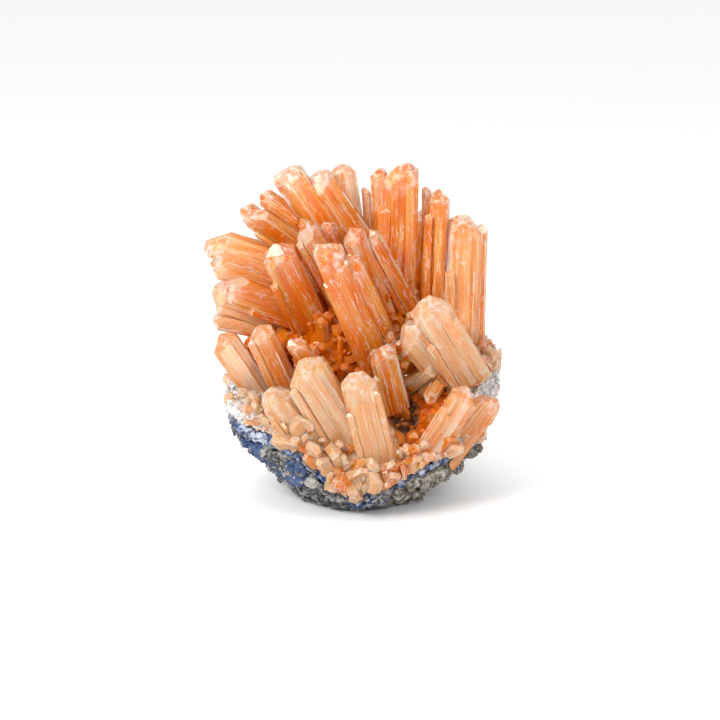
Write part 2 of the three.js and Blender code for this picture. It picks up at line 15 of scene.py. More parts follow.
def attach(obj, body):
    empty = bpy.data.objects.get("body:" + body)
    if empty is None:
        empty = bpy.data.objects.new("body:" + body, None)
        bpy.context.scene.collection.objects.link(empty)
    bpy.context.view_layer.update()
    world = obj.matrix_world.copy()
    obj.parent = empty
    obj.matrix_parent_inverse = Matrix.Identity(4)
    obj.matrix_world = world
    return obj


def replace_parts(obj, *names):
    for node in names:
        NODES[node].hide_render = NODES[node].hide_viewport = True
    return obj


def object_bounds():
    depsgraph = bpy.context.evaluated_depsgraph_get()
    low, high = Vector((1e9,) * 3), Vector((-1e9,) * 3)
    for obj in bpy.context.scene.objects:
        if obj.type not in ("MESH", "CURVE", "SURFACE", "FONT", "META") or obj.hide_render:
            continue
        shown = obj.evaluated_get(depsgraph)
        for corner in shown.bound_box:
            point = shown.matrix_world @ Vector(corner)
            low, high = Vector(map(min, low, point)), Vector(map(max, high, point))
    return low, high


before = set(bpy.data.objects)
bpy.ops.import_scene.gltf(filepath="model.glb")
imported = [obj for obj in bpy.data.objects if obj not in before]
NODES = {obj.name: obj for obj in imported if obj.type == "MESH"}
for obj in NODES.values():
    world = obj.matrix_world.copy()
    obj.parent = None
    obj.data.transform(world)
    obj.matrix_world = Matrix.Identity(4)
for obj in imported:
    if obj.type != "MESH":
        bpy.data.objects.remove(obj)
CAD_BOX = [list(corner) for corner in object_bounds()]

MM = 0.001
INSET = 0.03  # the fine shapes stay this far inside the CAD solids

# The front view: how far the camera looks down, how far off it is and what it looks at, as in part.mjs
VIEW_TILT = math.radians(15)
VIEW_DISTANCE = 600.0
VIEW_TARGET = (1.5, 0.0, 41.8)


def stream(seed):
    """A repeatable stream of numbers from 0 to 1."""
    state = seed * 7919 + 13

    def draw():
        nonlocal state
        state = (state * 16807) % 2147483647
        return state / 2147483647

    return draw


def seen(across, up, depth):
    """A point given as it is seen from the front: across and up from the middle of that view, and its depth."""
    tilt_sin, tilt_cos = math.sin(VIEW_TILT), math.cos(VIEW_TILT)
    flat_height = (up - depth * tilt_sin) / tilt_cos
    further = 1 + (depth * tilt_cos - flat_height * tilt_sin) / VIEW_DISTANCE
    return Vector(
        (
            VIEW_TARGET[0] + across * further,
            depth,
            VIEW_TARGET[2] + (up * further - depth * tilt_sin) / tilt_cos,
        )
    )


# The end facets of the crystals: bearing and slope in degrees, and shift in widths of the crystal
CAPS = {
    "pyramid": ((250, 50, 0), (335, 46, 0.02), (80, 52, 0), (165, 44, 0.03), (290, 18, -0.07)),
    "roof": ((5, 44, 0), (182, 36, 0), (268, 58, 0.1), (92, 54, 0.06)),
    "slant": ((40, 30, 0), (255, 60, 0.14), (190, 48, 0.1), (120, 52, 0.12)),
    "blunt": ((280, 13, -0.04), (205, 42, 0.08), (330, 48, 0.06), (100, 44, 0.1), (20, 56, 0.16)),
    "level": ((5, 34, 0.05), (262, 62, 0.2), (95, 58, 0.16)),
    "plain": ((250, 42, 0), (10, 48, 0), (130, 45, 0)),
}

# The crystals of each node, front ones first: tip, root, width, depth, end and how many narrow prisms grow along
# it. Those seen from the front are placed as seen from there, and those behind in plain coordinates.
FRONT = (
    ("crystal_centre", ((-11, 36, -24), (5, -1, -9), 8.5, 10, "pyramid", 2),
     ((-4.5, 31, -22), (9.5, 2, -7), 8, 9, "roof", 1)),
    ("crystal_front_pale", ((-1, -4, -31), (5.5, -30, -22), 10.5, 8, "blunt", 2)),
    ("crystal_front_left", ((-18.5, 0.5, -27), (-1, -28, -18), 12.5, 10, "pyramid", 1),
     ((-27, -9, -24), (-9, -32, -18), 10, 9, "blunt", 1)),
    ("crystal_front_right", ((33.5, -8, -24), (18, -32, -20), 8.5, 8, "roof", 1),
     ((40, -11, -17), (25, -30, -15), 8, 7, "blunt", 1)),
    ("crystal_right_stub", ((19.5, 17.5, -21), (33, -5, -9), 12, 9, "blunt", 2),
     ((13.5, 10.5, -19), (25, -4, -9), 10, 8, "slant", 0)),
    ("crystal_upper_middle", ((-3, 40, -7), (9, 9, -1), 7.5, 8, "slant", 1),
     ((2.5, 39, -5), (17, 12, 1), 6, 7, "roof", 1)),
    ("crystal_left_middle", ((-26, 35, -16), (-13, 8, -1), 10.5, 8.5, "pyramid", 1)),
    ("crystal_left_inner", ((-17.5, 41, -9), (-3, 16, 1), 8, 8, "pyramid", 1),
     ((-11, 41, -4), (0, 16, 4), 6, 6, "slant", 0)),
    ("crystal_left_large", ((-46, 35.5, -5), (-12, 25, 2), 9, 9, "blunt", 1),
     ((-45.2, 29, -6), (-14, 19, 1), 7.5, 8, "roof", 0)),
    ("crystal_left_lower", ((-40.5, 22.5, -10), (-16, 14, -1), 9, 8, "blunt", 1)),
    ("crystal_left_clear", ((-45, 21, 0), (-24, 14, 4), 8.5, 8, "pyramid", 1)),
    ("crystal_top_double", ((12.5, 60, 8), (11, 6, 6), 11.5, 10, "pyramid", 1),
     ((5.5, 58, 9), (7.5, 8, 7), 5.5, 6, "pyramid", 0)),
    ("crystal_right_tall", ((32, 43.5, 5), (30.5, -2, 3), 10, 9, "blunt", 1),
     ((36.3, 41, 6.5), (35, -2, 5), 4.8, 6, "plain", 0)),
    ("crystal_right_inner", ((24, 51.5, 8), (22, 4, 5), 6.8, 8, "roof", 1),
     ((20, 52.2, 11), (19, 8, 7), 3.4, 5, "plain", 0)),
    ("crystal_top_middle", ((-5.5, 58.7, 11), (2, 8, 8), 8, 8, "blunt", 1),
     ((1.8, 52, 12), (5, 10, 9), 3.4, 5, "plain", 0)),
    ("crystal_top_left", ((-22.6, 57, 3), (-1, 26, 5), 9.5, 9, "level", 1),
     ((-13.2, 56, 4), (6, 28, 6), 8, 9, "level", 0)),
    ("crystal_far_left_pair", ((-33.5, 44.5, -3), (-14, 31, 3), 7.5, 8, "blunt", 1),
     ((-30, 50, 2), (-12, 37, 6), 6, 7, "pyramid", 0)),
    ("crystal_left_tip", ((-35.5, 46.5, 1), (-18, 33, 7), 5.5, 6, "pyramid", 0)),
    ("crystal_low_left", ((-31, 10.5, -17), (-20, -12, -9), 8, 7, "pyramid", 1)),
    ("crystal_low_far_left", ((-42.5, 8, -7), (-28, -13, -4), 8.5, 7.5, "pyramid", 0)),
    ("crystal_low_middle", ((-20.5, 6.5, -22), (-10, -8, -14), 6, 6, "pyramid", 0),
     ((-8.5, 11.5, -19), (-4, -6, -13), 4.8, 5, "plain", 1)),
    ("crystal_side_left", ((-44, 12.5, 0), (-22, 8, 3), 7, 8, "blunt", 0)),
    ("crystal_right_foot", ((38.5, -1, -12), (24, -7, -3), 9, 8, "blunt", 0),
     ((31, 0.5, -17), (20, -9, -7), 7, 7, "pyramid", 0)),
    ("crystal_cavity_wall", ((6.5, 3.5, -22), (11, -14, -12), 8, 7, "blunt", 1)),
    ("crystal_cavity_deep", ((20, -13, -19), (27, -1, -7), 5, 5, "pyramid", 0)),
)
BEHIND = (
    ("crystal_back_middle", ((-5, 39, 76), (0, 12, 36), 11, 10, "blunt", 0),
     ((1.5, 37, 80), (4, 12, 36), 6.5, 7, "pyramid", 0)),
    ("crystal_back_left", ((-24, 33, 70), (-6, 11, 34), 11, 9, "pyramid", 0)),
    ("crystal_back_right", ((18, 37, 70), (6, 12, 36), 11, 9, "roof", 0)),
    ("crystal_back_far_right", ((34, 27, 62), (12, 10, 34), 10, 9, "blunt", 0)),
    ("crystal_back_far_left", ((-38, 24, 54), (-10, 10, 34), 10.5, 9, "roof", 0)),
    ("crystal_back_low", ((4, 45, 55), (2, 14, 36), 10, 9, "pyramid", 0)),
    ("crystal_back_low_left", ((-19, 41, 51), (-5, 14, 36), 9, 8, "blunt", 0)),
    ("crystal_back_low_right", ((25, 40, 50), (8, 14, 36), 9, 8, "pyramid", 0)),
    ("crystal_behind_top", ((-11, 23, 91), (-2, 12, 40), 9, 8, "pyramid", 0)),
    ("crystal_behind_right", ((23, 25, 83), (10, 12, 38), 9.5, 8, "roof", 0)),
    ("crystal_behind_left", ((-31, 16, 76), (-6, 9, 38), 9, 8, "pyramid", 0)),
)
WIDE_CRYSTAL = 7  # wider crystals have eight sides and the others six
SIDES = ((-0.42, -0.34), (0.4, -0.3), (0.05, -0.45), (-0.3, 0.42), (0.46, 0.2))  # where narrow prisms grow

# Each face has a tone from 0 to GLARE, the palest, which is whitened as a painted glossy highlight, or is one of
# the white edges, frosted and painted as edge highlights
GLARE = 8
FROST_GLINT = 9
GLARE_SHARE = 0.08  # share of the faces that have the palest tone, whitened as a painted glossy highlight
FROST_GLINT_SHARE = 0.6  # share of the blades whose edges are white in places, frosted and painted as edge highlights

SHARP = 0.1  # half the width of a prism's edge
NARROWEST_BLADE = 0.15
STEP_HEIGHT = 0.08  # half the height of the step where a blade ends
ROW_HEIGHT = 4  # between the rows of points along a prism
CHIPS = 5  # small cuts on each crystal's end
RIM = 0.08  # width of the white rims of the end facets, frosted and painted as edge highlights
WELD = 2e-3
FEWEST_FACES = 60  # with fewer, a boolean has failed
CRUMB = 0.05  # a loose bit with a smaller share of a mesh's points is a crumb

DEEPEST, PROUDEST = -1.8, 0.7  # limits of the relief of the rough pieces
FOOT_FADE = 1.5  # the relief fades out over this height above the flat foot


def placing(root, tip):
    """The matrix that stands a prism on its root and points it at its tip."""
    axis = (tip - root).normalized()
    back = Vector((0, 1, 0)) if abs(axis.y) < 0.85 else Vector((0, 0, 1))
    across = back.cross(axis).normalized()
    away = axis.cross(across)
    matrix = Matrix((across, away, axis)).transposed().to_4x4()
    matrix.translation = root
    return matrix


def outline_of(width, depth, corners, draw):
    """Corners of a prism's cross-section, and how far its summit leans."""
    a, b = width / 2, depth / 2
    cuts = [(0.22 + 0.45 * draw()) * min(a, b) for _ in range(4)]
    skews = [0.7 + 0.6 * draw() for _ in range(4)]
    lean = 0.3 * (draw() - 0.5) * width
    if corners == 8:
        points = [
            (a, b - cuts[0]),
            (a - cuts[0] * skews[0], b),
            (-a + cuts[1] * skews[1], b),
            (-a, b - cuts[1]),
            (-a, -b + cuts[2]),
            (-a + cuts[2] * skews[2], -b),
            (a - cuts[3] * skews[3], -b),
            (a, -b + cuts[3]),
        ]
    else:
        points = [
            (a, 0.1 * b),
            (a - cuts[0], b),
            (-a + cuts[1], b),
            (-a, -0.1 * b),
            (-a + cuts[2], -b),
            (a - cuts[3], -b),
        ]
    return np.array(points), lean


def striated_ring(points, stria, size, rng):
    """Points round a cross-section, each with its blade, its depth below the face and whether a blade ends there.

    Each face of the prism is split into flat blades with steps between them, and each blade into fine ridges.
    """
    ring, blades, depths, edges = [], [], [], []
    blade = 0
    for start, end in zip(points, np.roll(points, -1, axis=0)):
        span = np.linalg.norm(end - start)
        way = (end - start) / span
        parts = max(1, int(rng.integers(1, 2 + span / 1.5)))
        cuts = np.sort(rng.uniform(0.12, 0.88, parts - 1)) * span
        for low, high in zip([SHARP, *(cuts + SHARP / 2)], [*(cuts - SHARP / 2), span - SHARP]):
            if high - low < NARROWEST_BLADE:
                continue
            steps = max(1, round((high - low) / stria))
            inner = (np.arange(1, steps) + rng.uniform(-0.25, 0.25, steps - 1)) / steps
            tilt = rng.uniform(-0.16, 0.16) * (high - low)
            for share in [0, *inner, 1]:
                groove = rng.uniform(0.2, 1) if rng.random() < 0.5 and 0 < share < 1 else 0.0
                ring.append(start + way * (low + (high - low) * share))
                blades.append(blade)
                depths.append(groove * min(0.15, 0.04 * size) + abs(tilt) / 2 + tilt * (share - 0.5))
                edges.append(False)
            edges[-1] = True
            blade += 1
    return np.array(ring), np.array(blades), np.array(depths), np.array(edges), blade


def striated_column(points, length, stria, rng):
    """A closed prism with fine ridges along its axis, some of which end early, and the tone of each face."""
    size = np.abs(points).max(0).min()
    ring, blade, fine, edges, blades = striated_ring(points, stria, size, rng)
    count = len(ring)
    base = (rng.random(blades) ** 1.8) * min(0.55, 0.1 * size)
    step = rng.uniform(0.15, 0.7, blades) * min(1, 0.2 * size) * (rng.random(blades) < 0.55)
    stop = length * (1 - rng.random(blades) ** 1.3 * 0.75)
    stops = np.sort(rng.choice(stop, min(6, blades), replace=False))
    stop = stops[np.abs(stop[:, None] - stops[None, :]).argmin(1)]
    rows = np.linspace(0.08, 0.97, max(3, round(length / ROW_HEIGHT))) * length
    levels = np.concatenate([[0], *([s - STEP_HEIGHT, s + STEP_HEIGHT] for s in stops), rows, [length]])
    levels = np.unique(np.clip(levels, 0, length).round(3))
    away = ring / np.maximum(np.linalg.norm(ring, axis=1, keepdims=True), 1e-6)
    along = np.column_stack([-away[:, 1], away[:, 0]])
    shift = 50 * rng.random()
    # A few blades get the palest tone, GLARE, which the crystal materials whiten as a painted glossy highlight
    tones = np.where(rng.random(blades) < GLARE_SHARE, GLARE, rng.integers(0, GLARE, blades))
    lined = rng.random(blades) < FROST_GLINT_SHARE
    vertices, frost_glint_rows = [], []
    for level in levels:
        wave = np.array([noise.noise(Vector((0.9 * i, level / 9, shift))) for i in range(count)])
        inward = INSET + base[blade] + fine * (1 + 0.8 * wave) + np.where(level > stop[blade], step[blade], 0)
        sway = np.array([noise.noise(Vector((0.3 * i, level / 3.5, shift + 9))) for i in range(count)])
        flat = ring - away * np.minimum(inward, 0.3 * size)[:, None] + along * (0.3 * sway)[:, None]
        vertices.append(np.column_stack([flat, np.full(count, level)]))
        frost_glint_rows.append(
            [lined[blade[i]] and noise.noise(Vector((3.3 * i, level / 5, shift))) > 0 for i in range(count)]
        )
    vertices = np.concatenate(vertices)
    faces, marks = [tuple(range(count))[::-1]], [0]
    for row in range(len(levels) - 1):
        low, high = row * count, (row + 1) * count
        for i in range(count):
            j = (i + 1) % count
            faces.append((low + i, low + j, high + j, high + i))
            marks.append(FROST_GLINT if edges[i] and frost_glint_rows[row][i] else int(tones[blade[i]]))
    faces.append(tuple(range(len(vertices) - count, len(vertices))))
    marks.append(0)
    return vertices, faces, marks


def bmesh_from(vertices, faces, marks):
    bm = bmesh.new()
    made = [bm.verts.new(tuple(v)) for v in vertices]
    for face, mark in zip(faces, marks):
        bm.faces.new([made[i] for i in face]).material_index = mark
    bm.normal_update()
    return bm


def slice_off(bm, normal, reach):
    """Cuts away all beyond a plane, and closes the cut."""
    geometry = bm.verts[:] + bm.edges[:] + bm.faces[:]
    cut = bmesh.ops.bisect_plane(
        bm, geom=geometry, plane_co=normal * reach, plane_no=normal, clear_outer=True, dist=1e-4
    )
    edges = [item for item in cut["geom_cut"] if isinstance(item, bmesh.types.BMEdge) and item.is_boundary]
    if edges:
        bmesh.ops.holes_fill(bm, edges=edges)


def facing(bearing, slope):
    turn, fall = math.radians(bearing), math.radians(slope)
    return Vector((math.sin(fall) * math.cos(turn), math.sin(fall) * math.sin(turn), math.cos(fall)))


def prism(spec, length, draw, rng, stria):
    """One striated prism in its own frame, from z 0 up, with its end facets and small chips."""
    width, depth, across, through, cap, corners = spec
    points, lean = outline_of(width, depth, corners, draw)
    bm = bmesh_from(*striated_column(points, length, stria, rng))
    summit = Vector((lean, 0, length))
    for bearing, slope, shift in CAPS[cap]:
        normal = facing(bearing, slope)
        slice_off(bm, normal, normal.dot(summit) + shift * width - INSET)
    for _ in range(CHIPS):
        normal = facing(360 * rng.random(), 25 + 45 * rng.random())
        furthest = max(v.co.dot(normal) for v in bm.verts)
        slice_off(bm, normal, furthest - width * rng.uniform(0.02, 0.08))
    bmesh.ops.remove_doubles(bm, verts=bm.verts, dist=WELD)
    bm.normal_update()
    ends = [f for f in bm.faces if f.normal.z > 0.2 and len(f.verts) > 4 and f.calc_area() > 0.3]
    if ends:
        # The end facets get white rims, frosted and painted as edge highlights
        rims = bmesh.ops.inset_individual(bm, faces=ends, thickness=RIM, use_even_offset=True)
        for face in rims["faces"]:
            face.material_index = FROST_GLINT
        for face in ends:
            face.material_index = int(rng.integers(0, GLARE + 1))
    bmesh.ops.triangulate(bm, faces=[f for f in bm.faces if len(f.verts) > 4])
    bmesh.ops.translate(bm, verts=bm.verts, vec=Vector((across, through, 0)))
    bm.verts.index_update()
    return bm


def new_object(name, mesh):
    obj = bpy.data.objects.new(name, mesh)
    bpy.context.scene.collection.objects.link(obj)
    return obj


def object_from_bmesh(name, bm):
    mesh = bpy.data.meshes.new(name)
    bm.to_mesh(mesh)
    bm.free()
    return new_object(name, mesh)


def members_of(specs, seed):
    """The prisms of a node, each with its shape, length and matrix, and the stream that they all draw from."""
    draw = stream(seed)
    members = []
    for tip, root, width, depth, cap, sides in specs:
        length = (tip - root).length
        own = []
        for x, y in SIDES[:sides]:
            narrow = (0.34 + 0.22 * draw()) * min(width, depth)
            flat = narrow * (0.8 + 0.3 * draw())
            own.append((narrow, flat, length * (0.62 + 0.3 * draw()), x * width, y * depth))
        matrix = placing(root, tip)
        main = (width, depth, 0, 0, cap, 8 if width > WIDE_CRYSTAL else 6)
        members.append((main, length, matrix))
        for narrow, flat, reach, x, y in own:
            members.append(((narrow, flat, x, y, "plain", 6), reach, matrix))
    return members, draw


def solved(obj, others, operation):
    """The mesh of obj after it is joined with, or cut to, other closed objects."""
    for other in others:
        modifier = obj.modifiers.new("solve", "BOOLEAN")
        modifier.operation = operation
        modifier.solver = "MANIFOLD"
        modifier.object = other
    bpy.context.view_layer.update()
    mesh = bpy.data.meshes.new_from_object(obj.evaluated_get(bpy.context.evaluated_depsgraph_get()))
    obj.modifiers.clear()
    return mesh


def welded_copy(node):
    """A closed copy of a CAD node, in millimetres."""
    bm = bmesh.new()
    bm.from_mesh(NODES[node].data)
    bmesh.ops.remove_doubles(bm, verts=bm.verts, dist=1e-6)
    bmesh.ops.scale(bm, vec=(1 / MM,) * 3, verts=bm.verts)
    return object_from_bmesh(node + "_solid", bm)


def sweep(mesh):
    """Takes away the loose crumbs that a boolean or a remesh leaves."""
    bm = bmesh.new()
    bm.from_mesh(mesh)
    waiting = set(bm.verts)
    while waiting:
        island = [waiting.pop()]
        for vertex in island:
            near = {edge.other_vert(vertex) for edge in vertex.link_edges} & waiting
            waiting -= near
            island += near
        if len(island) < CRUMB * len(mesh.vertices):
            bmesh.ops.delete(bm, geom=island, context="VERTS")
    bm.to_mesh(mesh)
    bm.free()


def discard(objects):
    for obj in objects:
        mesh = obj.data
        bpy.data.objects.remove(obj)
        bpy.data.meshes.remove(mesh)


def store_grain(mesh, domain, grain, rise, marks):
    """Stores what the crystal materials read: place and height in the crystal, and the mark of each face."""
    mesh.attributes.new("grain", "FLOAT_VECTOR", domain).data.foreach_set("vector", grain.ravel())
    for name, kind, values in (
        ("rise", domain, rise),
        ("frost_glint", "FACE", marks == FROST_GLINT),
        ("tone", "FACE", marks / GLARE),
    ):
        mesh.attributes.new(name, "FLOAT", kind).data.foreach_set("value", values.astype(np.float32))


def grain_of(mesh, frames):
    """Stores, for each corner of each face, where it lies along and across the crystal that it belongs to."""
    count = len(mesh.vertices)
    points = np.empty(count * 3)
    mesh.vertices.foreach_get("co", points)
    points = np.column_stack([points.reshape(-1, 3), np.ones(count)])
    local = [points @ np.array(matrix.inverted()).T for matrix, _, _, _ in frames]
    loops = np.empty(len(mesh.loops), int)
    mesh.loops.foreach_get("vertex_index", loops)
    starts = np.empty(len(mesh.polygons), int)
    totals = np.empty(len(mesh.polygons), int)
    mesh.polygons.foreach_get("loop_start", starts)
    mesh.polygons.foreach_get("loop_total", totals)
    face_of_loop = np.repeat(np.arange(len(starts)), totals)
    fits = []
    for place, (_, width, depth, _) in zip(local, frames):
        spread = np.maximum(np.abs(place[:, 0]) / width, np.abs(place[:, 1]) / depth)
        fits.append(np.bincount(face_of_loop, spread[loops]) / totals)
    best = np.argmin(fits, axis=0)[face_of_loop]
    grain = np.zeros((len(loops), 3), np.float32)
    rise = np.zeros(len(loops), np.float32)
    for index, (place, (_, _, _, length)) in enumerate(zip(local, frames)):
        own = best == index
        grain[own] = place[loops[own], :3] + (40.0 * index, 0, 0)
        rise[own] = place[loops[own], 2] / length
    index = np.empty(len(mesh.polygons), int)
    mesh.polygons.foreach_get("material_index", index)
    mesh.polygons.foreach_set("material_index", np.zeros(len(index), int))
    store_grain(mesh, "CORNER", grain, rise, index)


def settle(mesh, name, material, slot):
    """Keeps a mesh inside the CAD box, brings it to metres, and shows it as a piece that rides on the part."""
    count = len(mesh.vertices)
    points = np.empty(count * 3)
    mesh.vertices.foreach_get("co", points)
    low, high = np.array(CAD_BOX)
    points = np.clip(points.reshape(-1, 3) * MM, low, high)
    mesh.vertices.foreach_set("co", points.ravel())
    mesh.update()
    mesh.materials.clear()
    mesh.materials.append(material)
    piece = new_object(name, mesh)
    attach(piece, "root")
    return piece


def crystal_piece(node, specs, seed, material):
    """A finely striated crystal or bundle that takes the place of its CAD node."""
    rng = np.random.default_rng(1000 + seed)
    members, draw = members_of(specs, seed)
    objects = []
    for spec, length, matrix in members:
        bm = prism(spec, length, draw, rng, 0.5 if spec[0] > 5 else 0.42)
        bmesh.ops.transform(bm, matrix=matrix, verts=bm.verts)
        objects.append(object_from_bmesh(node + "_member", bm))
    solid = welded_copy(node)
    whole = objects[0]
    if len(objects) > 1:
        whole = new_object(node + "_whole", solved(objects[0], objects[1:], "UNION"))
        objects.append(whole)
    mesh = solved(whole, [solid], "INTERSECT")
    sweep(mesh)
    if len(mesh.polygons) < FEWEST_FACES:
        print("plain shape kept for", node, len(mesh.polygons))
        mesh = solid.data.copy()
    discard(objects + [solid])
    frames = [(placing(s[1], s[0]), s[2], s[3], (s[0] - s[1]).length) for s in specs]
    grain_of(mesh, frames)
    mesh.name = node
    slot = "pale_crystal" if material.name == "pale_crystal" else "orange_crystal"
    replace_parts(settle(mesh, node + "_fine", material, slot), node)


def fresh(name):
    material = bpy.data.materials.new(name)
    material.use_nodes = True
    tree = material.node_tree
    return material, tree, tree.nodes["Principled BSDF"]


def add(tree, kind, **settings):
    node = tree.nodes.new(kind)
    for key, value in settings.items():
        if key.startswith("in_"):
            node.inputs[int(key[3:])].default_value = value
        else:
            setattr(node, key, value)
    return node


def noise_of(tree, vector, scale, detail=4.0, roughness=0.55):
    node = add(tree, "ShaderNodeTexNoise")
    node.inputs["Scale"].default_value = scale
    node.inputs["Detail"].default_value = detail
    node.inputs["Roughness"].default_value = roughness
    tree.links.new(vector, node.inputs["Vector"])
    return node.outputs["Fac"]


def stretched(tree, vector, scale):
    node = add(tree, "ShaderNodeMapping")
    node.inputs["Scale"].default_value = scale
    tree.links.new(vector, node.inputs["Vector"])
    return node.outputs["Vector"]


def ramp(tree, value, low, high, bottom=0.0, top=1.0):
    node = add(tree, "ShaderNodeMapRange")
    for socket, number in zip(("From Min", "From Max", "To Min", "To Max"), (low, high, bottom, top)):
        node.inputs[socket].default_value = number
    tree.links.new(value, node.inputs["Value"])
    return node.outputs["Result"]


def math_of(tree, operation, a, b):
    node = add(tree, "ShaderNodeMath", operation=operation)
    for socket, value in zip(node.inputs, (a, b)):
        if isinstance(value, (int, float)):
            socket.default_value = value
        else:
            tree.links.new(value, socket)
    return node.outputs[0]


def blend(tree, factor, first, second):
    """A colour between two, each a colour or a socket."""
    node = add(tree, "ShaderNodeMix", data_type="RGBA")
    for socket, value in zip((node.inputs[0], node.inputs[6], node.inputs[7]), (factor, first, second)):
        if isinstance(value, (int, float)):
            socket.default_value = value
        elif isinstance(value, tuple):
            socket.default_value = (*value, 1)
        else:
            tree.links.new(value, socket)
    return node.outputs[2]


def bump_of(tree, height, distance, strength):
    node = add(tree, "ShaderNodeBump")
    node.inputs["Strength"].default_value = strength
    node.inputs["Distance"].default_value = distance
    tree.links.new(height, node.inputs["Height"])
    return node.outputs["Normal"]


def milky(shader, weight=0.8, radius=(1.0, 0.6, 0.4), scale=0.0015):
    """Lets light spread under the surface."""
    shader.inputs["Subsurface Weight"].default_value = weight
    shader.inputs["Subsurface Radius"].default_value = radius
    shader.inputs["Subsurface Scale"].default_value = scale


def crack_of(tree, grain, cloud):
    """Thin healed cracks, here and there: 1 along them and 0 elsewhere."""
    wobble = add(tree, "ShaderNodeTexNoise", in_2=0.5, in_3=3.0)
    tree.links.new(grain, wobble.inputs["Vector"])
    bent = add(tree, "ShaderNodeVectorMath", operation="MULTIPLY_ADD")
    tree.links.new(wobble.outputs["Color"], bent.inputs[0])
    bent.inputs[1].default_value = (1.6, 1.6, 1.6)
    tree.links.new(grain, bent.inputs[2])
    cells = add(tree, "ShaderNodeTexVoronoi", feature="DISTANCE_TO_EDGE")
    tree.links.new(stretched(tree, bent.outputs[0], (0.34, 0.34, 0.06)), cells.inputs["Vector"])
    cells.inputs["Scale"].default_value = 1.0
    line = ramp(tree, cells.outputs["Distance"], 0.015, 0.03, 1, 0)
    return math_of(tree, "MULTIPLY", line, ramp(tree, cloud, 0.52, 0.58, 0, 0.8))


def crystal_material(name, deep, middle, light, density, absorbed, bright=1.0):
    """See-through crystal in three shades of one colour; bright is how much of its white shows: painted
    highlights on its edges, faces and tips, pale tips and white cracks.
    """
    material, tree, shader = fresh(name)
    link = tree.links.new
    grain = add(tree, "ShaderNodeAttribute", attribute_name="grain").outputs["Vector"]
    rise = add(tree, "ShaderNodeAttribute", attribute_name="rise").outputs["Fac"]
    frost_glint = add(tree, "ShaderNodeAttribute", attribute_name="frost_glint").outputs["Fac"]
    tone = add(tree, "ShaderNodeAttribute", attribute_name="tone").outputs["Fac"]
    streak = noise_of(tree, stretched(tree, grain, (2.4, 2.4, 0.07)), 1.0, 5)
    band = noise_of(tree, stretched(tree, grain, (0.5, 0.5, 0.05)), 1.0, 3)
    cloud = noise_of(tree, grain, 0.2, 4, 0.6)
    # Painted glints: short white strokes where the surface would catch the light
    painted_glint = noise_of(tree, stretched(tree, grain, (2.1, 2.1, 0.3)), 1.0, 6, 0.7)
    toned = math_of(tree, "ADD", math_of(tree, "MULTIPLY", tone, 0.34), ramp(tree, band, 0.3, 0.7, -0.15, 0.75))
    body = blend(tree, toned, deep, middle)
    body = blend(tree, ramp(tree, toned, 0.45, 1.0, 0, 0.75), body, light)
    body = blend(tree, ramp(tree, streak, 0.56, 0.66, 0, 0.75), body, light)
    body = blend(tree, ramp(tree, streak, 0.42, 0.34, 0, 0.6), body, deep)
    tip = math_of(tree, "MULTIPLY", ramp(tree, rise, 0.72, 1.0, 0, 0.7 * bright), ramp(tree, cloud, 0.4, 0.62))
    body = blend(tree, tip, body, (1.0, 0.8, 0.62))
    spark = noise_of(tree, grain, 0.55, 3, 0.6)
    crown = ramp(tree, rise, 0.8, 0.95)
    dull = math_of(tree, "MULTIPLY", crown, ramp(tree, spark, 0.47, 0.42, 0, 0.7))
    body = blend(tree, dull, body, deep)
    # Painted highlights: white patches on the facets near the tip
    painted_tip_shine = math_of(tree, "MULTIPLY", crown, ramp(tree, spark, 0.53, 0.57, 0, 0.85 * bright))
    body = blend(tree, painted_tip_shine, body, (1.0, 0.89, 0.8))
    # White on the faces: edges frosted and painted as highlights, glare faces as painted glossy highlights,
    # painted glints and white healed cracks
    white = math_of(tree, "MAXIMUM", math_of(tree, "MULTIPLY", frost_glint, 0.8), ramp(tree, tone, 0.9, 1.0, 0, 0.5))
    white = math_of(tree, "MAXIMUM", white, ramp(tree, painted_glint, 0.6, 0.63, 0, 0.9))
    white = math_of(tree, "MAXIMUM", white, crack_of(tree, grain, cloud))
    body = blend(tree, math_of(tree, "MULTIPLY", white, bright), body, (1.0, 0.88, 0.76))
    link(body, shader.inputs["Base Color"])
    link(ramp(tree, streak, 0.35, 0.7, 0.03, 0.14), shader.inputs["Roughness"])
    fine = noise_of(tree, stretched(tree, grain, (7, 7, 0.14)), 1.0, 4)
    link(bump_of(tree, fine, 0.00006, 0.5), shader.inputs["Normal"])
    shader.inputs["IOR"].default_value = 1.5
    shader.inputs["Transmission Weight"].default_value = 0.5
    milky(shader, 1.0, (1.0, 0.6, 0.25), 0.0006)
    absorption = add(tree, "ShaderNodeVolumeAbsorption")
    absorption.inputs["Color"].default_value = (*absorbed, 1)
    absorption.inputs["Density"].default_value = density
    link(absorption.outputs[0], tree.nodes["Material Output"].inputs["Volume"])
    return material


def remeshed(node, voxel):
    """Points, normals and faces of an even mesh of a CAD node, in millimetres."""
    solid = welded_copy(node)
    modifier = solid.modifiers.new("even", "REMESH")
    modifier.mode = "VOXEL"
    modifier.voxel_size = voxel
    bpy.context.view_layer.update()
    mesh = bpy.data.meshes.new_from_object(solid.evaluated_get(bpy.context.evaluated_depsgraph_get()))
    sweep(mesh)
    discard([solid])
    count = len(mesh.vertices)
    points = np.empty(count * 3)
    mesh.vertices.foreach_get("co", points)
    normals = np.empty(count * 3)
    mesh.vertices.foreach_get("normal", normals)
    return mesh, points.reshape(-1, 3), normals.reshape(-1, 3)


